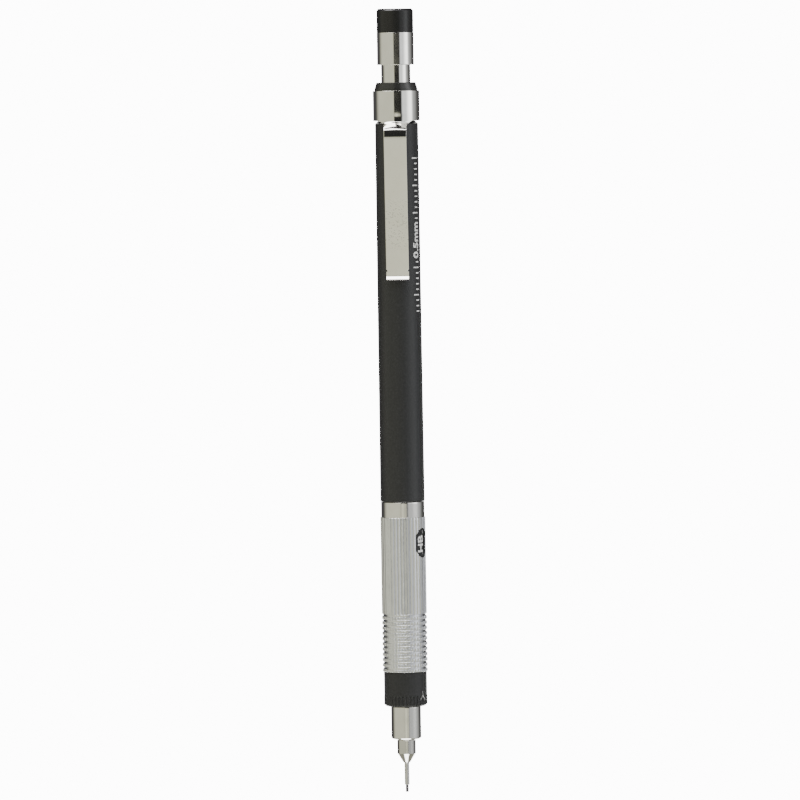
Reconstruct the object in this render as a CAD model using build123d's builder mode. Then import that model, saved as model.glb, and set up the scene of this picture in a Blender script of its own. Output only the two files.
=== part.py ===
from build123d import *
from math import cos, radians, sin
import os

# A 0.5 mm mechanical pencil for drafting, upright, in millimetres.
# +Z runs along the pencil's axis from the writing point to the push button, and the clip
# faces -Y. The origin is on the axis, half way up the grip, where the fingers hold it.

# ---------------------------------------------------------------- heights of what shows
MOUTH_Z = -35.2  # mouth of the guide pipe
CONE_Z = MOUTH_Z + 3.95  # the nose's cone starts
TIP_Z = CONE_Z + 1.85  # narrow cylinder of the nose
SHOULDER_Z = TIP_Z + 2.48  # step up to the nose's collar
COLLAR_Z = SHOULDER_Z + 0.33  # the nose's collar
COLLAR_TOP_Z = COLLAR_Z + 5.87
DIAL_Z = COLLAR_TOP_Z + 0.15  # lower edge of the grade dial
DIAL_SMOOTH_Z = DIAL_Z + 1.9  # the dial's ribs end
DIAL_TOP_Z = DIAL_SMOOTH_Z + 4.43
GRIP_Z = DIAL_TOP_Z + 0.05
FLUTES_Z = GRIP_Z + 10.65  # ring grooves below, lengthwise flutes above
JOINT_Z = FLUTES_Z + 17.73  # the smooth joint ring
BARREL_Z = JOINT_Z + 2.83
CLIP_Z = BARREL_Z + 69.85  # the clip's ring
BUSH_TOP_Z = CLIP_Z + 5.52  # tapered head of the top bush
BUSH_END_Z = BUSH_TOP_Z + 1.52
CAP_Z = BUSH_END_Z + 3.2  # lower edge of the push cap
CAP_TOP_Z = CAP_Z + 5.92  # the cap's black top
END_Z = CAP_TOP_Z + 4.38

# --------------------------------------------------------------------- lead and its path
LEAD_RADIUS = 0.28  # a nominal 0.5 mm lead measures 0.56
LEAD_LENGTH = 60.0
LEAD_OUT = 1.35  # how far the lead stands out of the pipe
LEAD_HOLE = 0.30  # radius of the chuck's and retainer's holes
PIPE_BORE = 0.31
PIPE_RADIUS = 0.45
PIPE_SHANK_RADIUS = 0.65  # the thicker shank pressed into the nose
PIPE_SHANK_Z = CONE_Z + 0.22  # its shoulder carries on the cone of the nose
PIPE_END_Z = MOUTH_Z + 7.0  # the pipe's hidden end, inside the nose

# ---------------------------------------------------------------------------- front end
CONE_RADIUS = 0.69  # front edge of the nose, round the pipe's shank
TIP_RADIUS = 1.7
COLLAR_RADIUS = 2.75
COLLAR_EDGE = 0.04  # broken edges of the nose's collar
RETAINER_RADIUS = 1.1
RETAINER_LENGTH = 1.9
RETAINER_SEAT_TOP_Z = PIPE_END_Z + 2.1
JAW_ROOM_RADIUS = 1.55  # the chuck's head runs in here
RING_STOP_Z = MOUTH_Z + 12.2  # the chuck ring stops here and the jaws open
NOSE_BORE = 1.8
NECK_RADIUS = 2.25  # plain neck that the dial's lip turns on
NECK_TOP_Z = COLLAR_TOP_Z + 1.45
SPIGOT_RADIUS = 2.15  # the nose's threaded spigot, drawn plain
SPIGOT_TOP_Z = COLLAR_TOP_Z + 7.5

# ---------------------------------------------------------------------- dial, grip, tube
RUNNING_GAP = 0.05  # radial room in every sliding or turning fit
DIAL_RADIUS = 3.96
DIAL_RIB_RADIUS = 3.99
DIAL_RIBS = 36
DIAL_RIB_DEPTH = 0.12
DIAL_CHAMFER = 0.35
DIAL_LIP_LENGTH = 1.15
SLEEVE_RADIUS = 3.68  # the dial's long sleeve, under the grip
SLEEVE_TOP_Z = JOINT_Z - 1.35
TUBE_RADIUS = 2.5  # front tube, inside the dial and the grip
TUBE_BORE = 2.15
TUBE_RING_RADIUS = 3.0  # the joint ring sits on this length
TUBE_TOP_Z = BARREL_Z + 12.0
JOINT_RADIUS = 3.99
GRIP_RADIUS = 4.14
GRIP_GROOVED_RADIUS = 4.12
GRIP_BORE = SLEEVE_RADIUS + RUNNING_GAP
GRIP_WEB_Z = JOINT_Z - 1.25  # solid end of the grip, seated on the front tube
RING_GROOVES = 11
RING_PITCH = 0.968
RING_FIRST = 0.7  # from the grip's lower edge to the first groove
RING_GROOVE_DEPTH = 0.22
RING_GROOVE_HALF = 0.24  # half its width at the top, and at the bottom
RING_FLOOR_HALF = 0.08
FLUTES = 42
FLUTE_RADIUS = 0.18
FLUTE_DEPTH = 0.11
WINDOW_ANGLE = 63.5  # round the axis from the clip, towards +X
WINDOW_Z = GRIP_Z + 23.7
WINDOW_TALL = 5.45
WINDOW_WIDE = 3.5

# ------------------------------------------------------------------------ barrel and top
BARREL_RADIUS = 4.08  # at the joint ring
BARREL_TOP_RADIUS = 3.95
BARREL_BORE = 3.3
BARREL_EDGE = 0.25
BARREL_TOP_EDGE = 0.55  # the barrel's upper rim is chamfered, clear of the clip's root
BUSH_NECK_RADIUS = 3.87  # carries the clip's ring
BUSH_HEAD_RADIUS = 3.96
BUSH_END_RADIUS = 3.58
BUSH_BOTTOM_Z = CLIP_Z - 10.0
FERRULE_RADIUS = 2.68
FERRULE_BORE = 2.38
FERRULE_HOLE = 1.3
FERRULE_SPIGOT_Z = CLIP_Z - 2.5
FERRULE_FLOOR_Z = CLIP_Z + 2.5
FERRULE_TOP_Z = CAP_Z + 2.9
ERASER_TOP_Z = CAP_Z + 4.3
PIN_RADIUS = 0.175
PIN_LENGTH = 23.0
PIN_IN_ERASER = 3.0
CAP_RADIUS = 3.375
CAP_BORE = FERRULE_RADIUS + 0.03  # an easy push fit on the ferrule
CAP_PLUG_Z = CAP_TOP_Z - 1.2
CAP_TOP_RADIUS = 3.36
CAP_CHAMFER = 0.3

# ---------------------------------------------------------------------------------- clip
CLIP_RING_RADIUS = 4.27
CLIP_THICKNESS = CLIP_RING_RADIUS - BUSH_NECK_RADIUS
CLIP_MIDDLE = CLIP_RING_RADIUS - CLIP_THICKNESS / 2
CLIP_WIDTH = 4.15
CLIP_ROOT_WIDTH = 6.2
CLIP_STAND_OFF = 6.04  # from the axis to the middle of the sheet, below the bend
CLIP_TOUCH = 4.24  # the same where the arm comes closest to the barrel
CLIP_LEAN = 4.0  # the arm slopes in by this many degrees
# Strip sections as (drop below the ring, distance from the axis, lean, width, bow).
CLIP_BEND = [
    (0.0, CLIP_MIDDLE, 0, CLIP_ROOT_WIDTH, 1.35),
    (0.3, CLIP_MIDDLE + 0.04, 14, 5.2, 0.88),
    (0.7, CLIP_MIDDLE + 0.24, 40, 4.5, 0.55),
    (1.3, CLIP_MIDDLE + 0.88, 50, CLIP_WIDTH, 0.30),
    (1.9, CLIP_MIDDLE + 1.50, 42, CLIP_WIDTH, 0.15),
    (2.5, CLIP_MIDDLE + 1.90, 20, CLIP_WIDTH, 0.06),
    (3.1, CLIP_STAND_OFF, -CLIP_LEAN, CLIP_WIDTH, 0.03),
]
CLIP_LIP = [
    (27.3, CLIP_TOUCH, -CLIP_LEAN, CLIP_WIDTH, 0.03),
    (27.9, CLIP_TOUCH - 0.02, 0, CLIP_WIDTH, 0.03),
    (28.2, CLIP_TOUCH + 0.06, 28, CLIP_WIDTH, 0.03),
    (28.85, CLIP_TOUCH + 0.54, 38, CLIP_WIDTH, 0.03),
]

# ---------------------------------------------------------------------------- lead clutch
CHUCK_Z = MOUTH_Z + 12.4  # front faces of the jaws
CHUCK_HEAD_RADIUS = 1.45
CHUCK_CONE_Z = CHUCK_Z + 0.5
CHUCK_CONE_TOP_Z = CHUCK_Z + 1.8
CHUCK_CONE_RADIUS = 1.15
CHUCK_RADIUS = 1.0
CHUCK_BORE = 0.55
CHUCK_JAW_LENGTH = 2.6  # the tight part of its bore
CHUCK_JAWS = 3
CHUCK_SLIT = 0.2
CHUCK_SLIT_LENGTH = 7.0
CHUCK_TOP_Z = CHUCK_Z + 20.6
CLAMP_RADIUS = 1.75  # the chuck ring
CLAMP_Z = CHUCK_Z + 0.8
CLAMP_TOP_Z = CLAMP_Z + 1.7
CLAMP_GAP = 0.03
HOUSING_RADIUS = 1.75
HOUSING_Z = CLAMP_TOP_Z + 0.05
HOUSING_LEDGE_Z = HOUSING_Z + 3.0  # the spring's front seat
HOUSING_FLANGE_TOP_Z = SPIGOT_TOP_Z + 1.5
HOUSING_REAR_RADIUS = 1.95
HOUSING_BORE = 1.5
HOUSING_TOP_Z = SPIGOT_TOP_Z + 9.0
COUPLER_Z = HOUSING_TOP_Z - 3.0  # the spring's rear seat
COUPLER_RADIUS = HOUSING_BORE - RUNNING_GAP
COUPLER_FLANGE_Z = HOUSING_TOP_Z + 3.4
COUPLER_FLANGE_LENGTH = 0.6
COUPLER_PLUG_LENGTH = 3.0
COUPLER_FUNNEL = 1.3
RESERVOIR_RADIUS = 1.95
RESERVOIR_BORE = 1.6
RESERVOIR_Z = COUPLER_FLANGE_Z + COUPLER_FLANGE_LENGTH
COUPLER_TOP_Z = RESERVOIR_Z + COUPLER_PLUG_LENGTH
SPARE_LEADS = 3
WIRE_RADIUS = 0.125
SPRING_RADIUS = 1.3  # to the middle of the wire
SPRING_TURNS = 9


def lathe_face(*corners):
    """The closed outline through (radius, height) corners, to be revolved."""
    with BuildSketch(Plane.XZ) as outline:
        with BuildLine():
            Polyline(*corners, close=True)
        make_face()
    return outline.sketch


def tube_face(inner, outer, bottom, top):
    """The outline of a plain tube, or of a rod when inner is 0."""
    return lathe_face((inner, bottom), (outer, bottom), (outer, top), (inner, top))


def save(piece, name):
    """Labels one finished piece and writes its STEP file."""
    piece.part.label = name
    export_step(piece.part, f"parts/{name}.step")


# ------------------------------------------------------------------------ nose and lead
def make_guide_pipe():
    with BuildPart() as guide_pipe:
        revolve(
            lathe_face(
                (PIPE_BORE, MOUTH_Z),
                (PIPE_RADIUS, MOUTH_Z),
                (PIPE_RADIUS, CONE_Z),
                (PIPE_SHANK_RADIUS, PIPE_SHANK_Z),
                (PIPE_SHANK_RADIUS, PIPE_END_Z),
                (PIPE_BORE, PIPE_END_Z),
            )
        )
    save(guide_pipe, "guide_pipe")


def make_nose():
    with BuildPart() as nose:
        revolve(
            lathe_face(
                (PIPE_SHANK_RADIUS, PIPE_SHANK_Z),
                (CONE_RADIUS, PIPE_SHANK_Z),
                (TIP_RADIUS, TIP_Z),
                (TIP_RADIUS, SHOULDER_Z),
                (COLLAR_RADIUS - COLLAR_EDGE, COLLAR_Z),
                (COLLAR_RADIUS, COLLAR_Z + COLLAR_EDGE),
                (COLLAR_RADIUS, COLLAR_TOP_Z),
                (NECK_RADIUS, COLLAR_TOP_Z),
                (NECK_RADIUS, NECK_TOP_Z),
                (SPIGOT_RADIUS, NECK_TOP_Z),
                (SPIGOT_RADIUS, SPIGOT_TOP_Z),
                (NOSE_BORE, SPIGOT_TOP_Z),
                (NOSE_BORE, RING_STOP_Z),
                (JAW_ROOM_RADIUS, RING_STOP_Z),
                (JAW_ROOM_RADIUS, RETAINER_SEAT_TOP_Z),
                (RETAINER_RADIUS, RETAINER_SEAT_TOP_Z),
                (RETAINER_RADIUS, PIPE_END_Z),
                (PIPE_SHANK_RADIUS, PIPE_END_Z),
            )
        )
    save(nose, "nose")


def make_lead_retainer():
    with BuildPart() as lead_retainer:
        revolve(tube_face(LEAD_HOLE, RETAINER_RADIUS, PIPE_END_Z, PIPE_END_Z + RETAINER_LENGTH))
    save(lead_retainer, "lead_retainer")


def make_lead():
    with BuildPart() as lead:
        bottom = MOUTH_Z - LEAD_OUT
        revolve(tube_face(0, LEAD_RADIUS, bottom, bottom + LEAD_LENGTH))
    save(lead, "lead")


def make_spare_leads():
    """New leads standing in the reservoir, each against its wall."""
    reach = RESERVOIR_BORE - LEAD_RADIUS - 0.01
    for number in range(SPARE_LEADS):
        turn = radians(90 + 360 / SPARE_LEADS * number)
        with BuildPart() as spare_lead:
            with BuildSketch(Plane.XY.offset(COUPLER_TOP_Z)):
                with Locations((reach * cos(turn), reach * sin(turn))):
                    Circle(LEAD_RADIUS)
            extrude(amount=LEAD_LENGTH)
        save(spare_lead, f"spare_lead_{number + 1}")


# ------------------------------------------------------------------------------- clutch
def make_chuck():
    """The brass collet that grips the lead, slit into jaws at the front."""
    with BuildPart() as chuck:
        revolve(
            lathe_face(
                (LEAD_HOLE, CHUCK_Z),
                (CHUCK_HEAD_RADIUS, CHUCK_Z),
                (CHUCK_HEAD_RADIUS, CHUCK_CONE_Z),
                (CHUCK_CONE_RADIUS, CHUCK_CONE_TOP_Z),
                (CHUCK_RADIUS, CHUCK_CONE_TOP_Z),
                (CHUCK_RADIUS, CHUCK_TOP_Z),
                (CHUCK_BORE, CHUCK_TOP_Z),
                (CHUCK_BORE, CHUCK_Z + CHUCK_JAW_LENGTH),
                (LEAD_HOLE, CHUCK_Z + CHUCK_JAW_LENGTH),
            )
        )
        with BuildSketch(Plane.XY.offset(CHUCK_Z)):
            with PolarLocations(CHUCK_HEAD_RADIUS / 2, CHUCK_JAWS):
                Rectangle(CHUCK_HEAD_RADIUS + 0.2, CHUCK_SLIT)
        extrude(amount=CHUCK_SLIT_LENGTH, mode=Mode.SUBTRACT)
    save(chuck, "chuck")


def make_chuck_ring():
    """The loose ring that holds the jaws shut until it meets the stop in the nose."""
    cone_top = CHUCK_CONE_TOP_Z
    slope = (CHUCK_HEAD_RADIUS - CHUCK_CONE_RADIUS) / (CHUCK_CONE_TOP_Z - CHUCK_CONE_Z)
    mouth = CHUCK_CONE_RADIUS + slope * (cone_top - CLAMP_Z)
    with BuildPart() as chuck_ring:
        revolve(
            lathe_face(
                (mouth + CLAMP_GAP, CLAMP_Z),
                (CLAMP_RADIUS, CLAMP_Z),
                (CLAMP_RADIUS, CLAMP_TOP_Z),
                (CHUCK_CONE_RADIUS + CLAMP_GAP, CLAMP_TOP_Z),
                (CHUCK_CONE_RADIUS + CLAMP_GAP, cone_top),
            )
        )
    save(chuck_ring, "chuck_ring")


def make_chuck_housing():
    with BuildPart() as chuck_housing:
        revolve(
            lathe_face(
                (CHUCK_RADIUS + RUNNING_GAP, HOUSING_Z),
                (HOUSING_RADIUS, HOUSING_Z),
                (HOUSING_RADIUS, SPIGOT_TOP_Z),
                (TUBE_BORE, SPIGOT_TOP_Z),
                (TUBE_BORE, HOUSING_FLANGE_TOP_Z),
                (HOUSING_REAR_RADIUS, HOUSING_FLANGE_TOP_Z),
                (HOUSING_REAR_RADIUS, HOUSING_TOP_Z),
                (HOUSING_BORE, HOUSING_TOP_Z),
                (HOUSING_BORE, HOUSING_LEDGE_Z),
                (CHUCK_RADIUS + RUNNING_GAP, HOUSING_LEDGE_Z),
            )
        )
    save(chuck_housing, "chuck_housing")


def make_chuck_spring():
    """A round-wire compression spring between the housing's ledge and the coupler."""
    bottom = HOUSING_LEDGE_Z + WIRE_RADIUS
    height = COUPLER_Z - WIRE_RADIUS - bottom
    with BuildPart() as chuck_spring:
        with BuildLine(Plane.XY.offset(bottom)):
            coil = Helix(pitch=height / SPRING_TURNS, height=height, radius=SPRING_RADIUS)
        with BuildSketch(Plane(origin=coil @ 0, z_dir=coil % 0)):
            Circle(WIRE_RADIUS)
        sweep(is_frenet=True)
    save(chuck_spring, "chuck_spring")


def make_chuck_coupler():
    """Joins the chuck's tail to the reservoir and funnels spare leads into it."""
    with BuildPart() as chuck_coupler:
        revolve(
            lathe_face(
                (CHUCK_RADIUS, COUPLER_Z),
                (COUPLER_RADIUS, COUPLER_Z),
                (COUPLER_RADIUS, COUPLER_FLANGE_Z),
                (RESERVOIR_RADIUS, COUPLER_FLANGE_Z),
                (RESERVOIR_RADIUS, RESERVOIR_Z),
                (RESERVOIR_BORE, RESERVOIR_Z),
                (RESERVOIR_BORE, COUPLER_TOP_Z),
                (COUPLER_FUNNEL, COUPLER_TOP_Z),
                (CHUCK_BORE, RESERVOIR_Z),
                (CHUCK_BORE, CHUCK_TOP_Z),
                (CHUCK_RADIUS, CHUCK_TOP_Z),
            )
        )
    save(chuck_coupler, "chuck_coupler")


def make_lead_tube():
    with BuildPart() as lead_tube:
        revolve(tube_face(RESERVOIR_BORE, RESERVOIR_RADIUS, RESERVOIR_Z, FERRULE_FLOOR_Z))
    save(lead_tube, "lead_tube")


# ----------------------------------------------------------------------- dial and grip
def make_grade_dial():
    """The black ring and its long sleeve, which carries the lead grades under the window."""
    with BuildPart() as grade_dial:
        revolve(
            lathe_face(
                (NECK_RADIUS + RUNNING_GAP, DIAL_Z),
                (DIAL_RIB_RADIUS - DIAL_CHAMFER, DIAL_Z),
                (DIAL_RIB_RADIUS, DIAL_Z + DIAL_CHAMFER),
                (DIAL_RIB_RADIUS, DIAL_SMOOTH_Z),
                (DIAL_RADIUS, DIAL_SMOOTH_Z),
                (DIAL_RADIUS, DIAL_TOP_Z),
                (SLEEVE_RADIUS, DIAL_TOP_Z),
                (SLEEVE_RADIUS, SLEEVE_TOP_Z),
                (TUBE_RADIUS + RUNNING_GAP, SLEEVE_TOP_Z),
                (TUBE_RADIUS + RUNNING_GAP, DIAL_Z + DIAL_LIP_LENGTH),
                (NECK_RADIUS + RUNNING_GAP, DIAL_Z + DIAL_LIP_LENGTH),
            )
        )
        with BuildSketch(Plane.XY.offset(DIAL_Z)):
            with PolarLocations(DIAL_RIB_RADIUS, DIAL_RIBS):
                Rectangle(2 * DIAL_RIB_DEPTH, 2 * DIAL_RIB_DEPTH, rotation=45)
        extrude(amount=DIAL_SMOOTH_Z - DIAL_Z, mode=Mode.SUBTRACT)
    save(grade_dial, "grade_dial")


def make_grip():
    """The metal grip: ring grooves, then flutes, and the oval window onto the dial's sleeve."""
    valley = GRIP_GROOVED_RADIUS - RING_GROOVE_DEPTH
    turn = radians(WINDOW_ANGLE)
    outward = (sin(turn), -cos(turn), 0)
    with BuildPart() as grip:
        revolve(
            lathe_face(
                (GRIP_BORE, GRIP_Z),
                (GRIP_GROOVED_RADIUS, GRIP_Z),
                (GRIP_GROOVED_RADIUS, FLUTES_Z),
                (GRIP_RADIUS, FLUTES_Z),
                (GRIP_RADIUS, JOINT_Z),
                (TUBE_RADIUS, JOINT_Z),
                (TUBE_RADIUS, GRIP_WEB_Z),
                (GRIP_BORE, GRIP_WEB_Z),
            )
        )
        for groove in range(RING_GROOVES):
            middle = GRIP_Z + RING_FIRST + RING_PITCH * groove
            revolve(
                lathe_face(
                    (GRIP_RADIUS, middle - RING_GROOVE_HALF),
                    (valley, middle - RING_FLOOR_HALF),
                    (valley, middle + RING_FLOOR_HALF),
                    (GRIP_RADIUS, middle + RING_GROOVE_HALF),
                ),
                mode=Mode.SUBTRACT,
            )
        with BuildSketch(Plane.XY.offset(FLUTES_Z)):
            with PolarLocations(GRIP_RADIUS + FLUTE_RADIUS - FLUTE_DEPTH, FLUTES):
                Circle(FLUTE_RADIUS)
        extrude(amount=JOINT_Z - FLUTES_Z, mode=Mode.SUBTRACT)
        with BuildSketch(Plane(origin=(0, 0, WINDOW_Z), x_dir=(0, 0, 1), z_dir=outward)):
            SlotOverall(WINDOW_TALL, WINDOW_WIDE)
        extrude(amount=GRIP_RADIUS + 1, mode=Mode.SUBTRACT)
    save(grip, "grip")


# ----------------------------------------------------------------------- tube and barrel
def make_front_tube():
    """Carries the nose, the grip and the joint ring, and goes up into the barrel."""
    with BuildPart() as front_tube:
        revolve(
            lathe_face(
                (TUBE_BORE, NECK_TOP_Z),
                (TUBE_RADIUS, NECK_TOP_Z),
                (TUBE_RADIUS, JOINT_Z),
                (TUBE_RING_RADIUS, JOINT_Z),
                (TUBE_RING_RADIUS, BARREL_Z),
                (BARREL_BORE, BARREL_Z),
                (BARREL_BORE, TUBE_TOP_Z),
                (TUBE_BORE, TUBE_TOP_Z),
            )
        )
    save(front_tube, "front_tube")


def make_joint_ring():
    with BuildPart() as joint_ring:
        revolve(tube_face(TUBE_RING_RADIUS, JOINT_RADIUS, JOINT_Z, BARREL_Z))
    save(joint_ring, "joint_ring")


def make_barrel():
    with BuildPart() as barrel:
        revolve(
            lathe_face(
                (BARREL_BORE, BARREL_Z),
                (BARREL_RADIUS - BARREL_EDGE, BARREL_Z),
                (BARREL_RADIUS, BARREL_Z + BARREL_EDGE),
                (BARREL_TOP_RADIUS, CLIP_Z - BARREL_TOP_EDGE),
                (BARREL_TOP_RADIUS - BARREL_TOP_EDGE, CLIP_Z),
                (BARREL_BORE, CLIP_Z),
            )
        )
    save(barrel, "barrel")


def make_top_bush():
    """Pressed into the barrel's top: guides the ferrule and holds the clip's ring down."""
    with BuildPart() as top_bush:
        revolve(
            lathe_face(
                (FERRULE_RADIUS + RUNNING_GAP, BUSH_BOTTOM_Z),
                (BARREL_BORE, BUSH_BOTTOM_Z),
                (BARREL_BORE, CLIP_Z),
                (BUSH_NECK_RADIUS, CLIP_Z),
                (BUSH_NECK_RADIUS, BUSH_TOP_Z),
                (BUSH_HEAD_RADIUS, BUSH_TOP_Z),
                (BUSH_END_RADIUS, BUSH_END_Z),
                (FERRULE_RADIUS + RUNNING_GAP, BUSH_END_Z),
            )
        )
    save(top_bush, "top_bush")


# ---------------------------------------------------------------------------------- clip
def clip_section(drop, distance, lean, width, bow):
    """One cross-section of the clip's sheet, square to the way the arm runs."""
    tilt = radians(lean)
    half = width / 2
    outer = CLIP_THICKNESS / 2
    square_to_arm = Plane(
        origin=(0, -distance, CLIP_Z - drop),
        x_dir=(1, 0, 0),
        z_dir=(0, -sin(tilt), -cos(tilt)),
    )
    with BuildSketch(square_to_arm) as section:
        with BuildLine():
            ThreePointArc((-half, outer - bow), (0, outer), (half, outer - bow))
            Line((half, outer - bow), (half, -outer - bow))
            ThreePointArc((half, -outer - bow), (0, -outer), (-half, -outer - bow))
            Line((-half, -outer - bow), (-half, outer - bow))
        make_face()
    return section.sketch


def make_clip_ring():
    with BuildPart() as clip_ring:
        revolve(tube_face(BUSH_NECK_RADIUS, CLIP_RING_RADIUS, CLIP_Z, BUSH_TOP_Z))
    save(clip_ring, "clip_ring")


def make_clip_arm():
    """The springy arm: a bend away from the ring, a straight run and a flared lip."""
    with BuildPart() as clip_arm:
        loft([clip_section(*station) for station in CLIP_BEND])
        loft([clip_section(*CLIP_BEND[-1]), clip_section(*CLIP_LIP[0])], ruled=True)
        loft([clip_section(*station) for station in CLIP_LIP])
    save(clip_arm, "clip_arm")


# ------------------------------------------------------------------------------ push end
def make_ferrule():
    """The bright tube that holds the eraser and slides in the top bush."""
    with BuildPart() as ferrule:
        revolve(
            lathe_face(
                (FERRULE_HOLE, FERRULE_SPIGOT_Z),
                (RESERVOIR_BORE, FERRULE_SPIGOT_Z),
                (RESERVOIR_BORE, FERRULE_FLOOR_Z),
                (FERRULE_RADIUS, FERRULE_FLOOR_Z),
                (FERRULE_RADIUS, FERRULE_TOP_Z),
                (FERRULE_BORE, FERRULE_TOP_Z),
                (FERRULE_BORE, FERRULE_FLOOR_Z + 1),
                (FERRULE_HOLE, FERRULE_FLOOR_Z + 1),
            )
        )
    save(ferrule, "ferrule")


def make_eraser():
    bottom = FERRULE_FLOOR_Z + 1
    with BuildPart() as eraser:
        revolve(
            lathe_face(
                (PIN_RADIUS, bottom),
                (FERRULE_BORE, bottom),
                (FERRULE_BORE, ERASER_TOP_Z),
                (0, ERASER_TOP_Z),
                (0, bottom + PIN_IN_ERASER),
                (PIN_RADIUS, bottom + PIN_IN_ERASER),
            )
        )
    save(eraser, "eraser")


def make_clean_out_pin():
    top = FERRULE_FLOOR_Z + 1 + PIN_IN_ERASER
    with BuildPart() as clean_out_pin:
        revolve(tube_face(0, PIN_RADIUS, top - PIN_LENGTH, top))
    save(clean_out_pin, "clean_out_pin")


def make_push_cap():
    with BuildPart() as push_cap:
        revolve(tube_face(CAP_BORE, CAP_RADIUS, CAP_Z, CAP_TOP_Z))
    save(push_cap, "push_cap")


def make_cap_top():
    with BuildPart() as cap_top:
        revolve(
            lathe_face(
                (0, CAP_PLUG_Z),
                (CAP_BORE, CAP_PLUG_Z),
                (CAP_BORE, CAP_TOP_Z),
                (CAP_TOP_RADIUS, CAP_TOP_Z),
                (CAP_TOP_RADIUS, END_Z - CAP_CHAMFER),
                (CAP_TOP_RADIUS - CAP_CHAMFER, END_Z),
                (0, END_Z),
            )
        )
    save(cap_top, "cap_top")


os.makedirs("parts", exist_ok=True)
make_guide_pipe()
make_nose()
make_lead_retainer()
make_lead()
make_spare_leads()
make_chuck()
make_chuck_ring()
make_chuck_housing()
make_chuck_spring()
make_chuck_coupler()
make_lead_tube()
make_grade_dial()
make_grip()
make_front_tube()
make_joint_ring()
make_barrel()
make_top_bush()
make_clip_ring()
make_clip_arm()
make_ferrule()
make_eraser()
make_clean_out_pin()
make_push_cap()
make_cap_top()
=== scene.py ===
"""The looks of a 0.5 mm mechanical pencil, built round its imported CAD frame.

The pencil stands upright on its own axis: +Z points to the push cap and the clip faces -Y.
Lengths in this file are millimetres, unless MM turns them into metres, and meshes are turned
into metres when they are made. Angles round the pencil are counted from the clip towards +X.
"""

import math

import bmesh
import bpy
from mathutils import Matrix, Vector
from mathutils.geometry import interpolate_bezier


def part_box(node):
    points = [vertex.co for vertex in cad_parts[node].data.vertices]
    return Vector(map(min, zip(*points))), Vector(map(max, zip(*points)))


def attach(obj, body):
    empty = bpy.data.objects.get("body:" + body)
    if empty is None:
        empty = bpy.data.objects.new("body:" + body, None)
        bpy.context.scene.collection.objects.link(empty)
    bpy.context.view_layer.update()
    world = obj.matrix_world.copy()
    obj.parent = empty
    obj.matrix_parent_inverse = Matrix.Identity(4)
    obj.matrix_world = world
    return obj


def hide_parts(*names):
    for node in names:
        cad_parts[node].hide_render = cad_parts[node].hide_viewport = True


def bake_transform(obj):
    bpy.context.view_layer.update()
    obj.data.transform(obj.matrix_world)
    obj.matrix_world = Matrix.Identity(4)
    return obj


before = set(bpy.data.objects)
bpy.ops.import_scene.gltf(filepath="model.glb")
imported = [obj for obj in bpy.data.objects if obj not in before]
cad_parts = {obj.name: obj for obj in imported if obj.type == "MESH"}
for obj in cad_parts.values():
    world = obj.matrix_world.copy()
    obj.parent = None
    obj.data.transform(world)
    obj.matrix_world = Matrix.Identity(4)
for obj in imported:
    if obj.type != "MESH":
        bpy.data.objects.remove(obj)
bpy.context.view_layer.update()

MM = 0.001


def low(node):
    """Height of a CAD node's lower end."""
    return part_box(node)[0].z / MM


def high(node):
    """Height of a CAD node's upper end."""
    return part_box(node)[1].z / MM


# ------------------------------------------------------------------------------- heights
MOUTH = low("guide_pipe")  # the writing end of the pipe
CONE = MOUTH + 3.95  # the pipe enters the nose's cone
PIPE_ROOT = CONE + 0.22  # the pipe's shoulder
TIP = CONE + 1.85  # the cone meets the narrow tip
SHOULDER = TIP + 2.48  # the tip ends
COLLAR = SHOULDER + 0.33  # the nose's wide collar starts
PIPE_END = MOUTH + 7.0  # the pipe's hidden end, inside the nose
RETAINER_END = MOUTH + 9.1
RING_STOP = MOUTH + 12.2  # the chuck ring stops here
DIAL = low("grade_dial")
COLLAR_TOP = DIAL - 0.15
NECK_TOP = COLLAR_TOP + 1.45
DIAL_SMOOTH = DIAL + 1.9  # the ribs end
INDEX_MARK = DIAL_SMOOTH + 0.1
GRIP = low("grip")
DIAL_TOP = GRIP - 0.05  # the sleeve starts
FLUTES_START = GRIP + 10.65
WINDOW = GRIP + 23.7  # middle of the window
GRIP_TOP = high("grip")
BARREL = low("barrel")
CLIP = low("clip_ring")
ERASER_FLOOR = CLIP + 2.5
BUSH_SEAT = high("clip_ring")
BUSH_END = high("top_bush")
CAP = low("push_cap")
CAP_TOP = high("push_cap")
END = high("cap_top")
SIZE_PRINT = MOUTH + 100.25  # middle of the prints on the barrel

# --------------------------------------------------------------------------------- radii
LEAD_RADIUS = 0.28
PIPE_BORE = 0.31
PIPE_RADIUS = 0.45
PIPE_ROOT_RADIUS = 0.65  # where the nose holds the pipe
CONE_RADIUS = 0.69  # the nose's front edge
TIP_RADIUS = 1.70
COLLAR_RADIUS = 2.75
NECK_RADIUS = 2.25  # the nose's neck, which the dial turns on
SPIGOT_RADIUS = 2.15  # its thread above the neck
RETAINER_RADIUS = 1.10
JAW_ROOM_RADIUS = 1.55  # the chuck's head runs in here
NOSE_BORE = 1.80
DIAL_RADIUS = 3.96
RIB_RADIUS = 3.99
SLEEVE_RADIUS = 3.68
DIAL_BEVEL = 0.35
DIAL_BORE = 2.30
DIAL_LIP = 1.15  # length of the narrow part of its bore
SLEEVE_BORE = 2.55
GRIP_RADIUS = 4.14
GROOVED_RADIUS = 4.13
GRIP_BORE = 3.73
GRIP_TOP_BORE = 2.50
GRIP_WEB = 1.25  # thickness of its upper end
JOINT_RADIUS = 3.99
JOINT_BORE = 3.00
BARREL_RADIUS = 4.08
BARREL_TOP_RADIUS = 3.95
BARREL_BORE = 3.30
BARREL_BEVEL = 0.55  # below the clip's ring
CLIP_RADIUS = 4.07  # middle of the clip's sheet, round the bush
CLIP_SEAT_RADIUS = 3.87  # the bush inside the clip's ring
BUSH_RADIUS = 3.96
BUSH_END_RADIUS = 3.58
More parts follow.
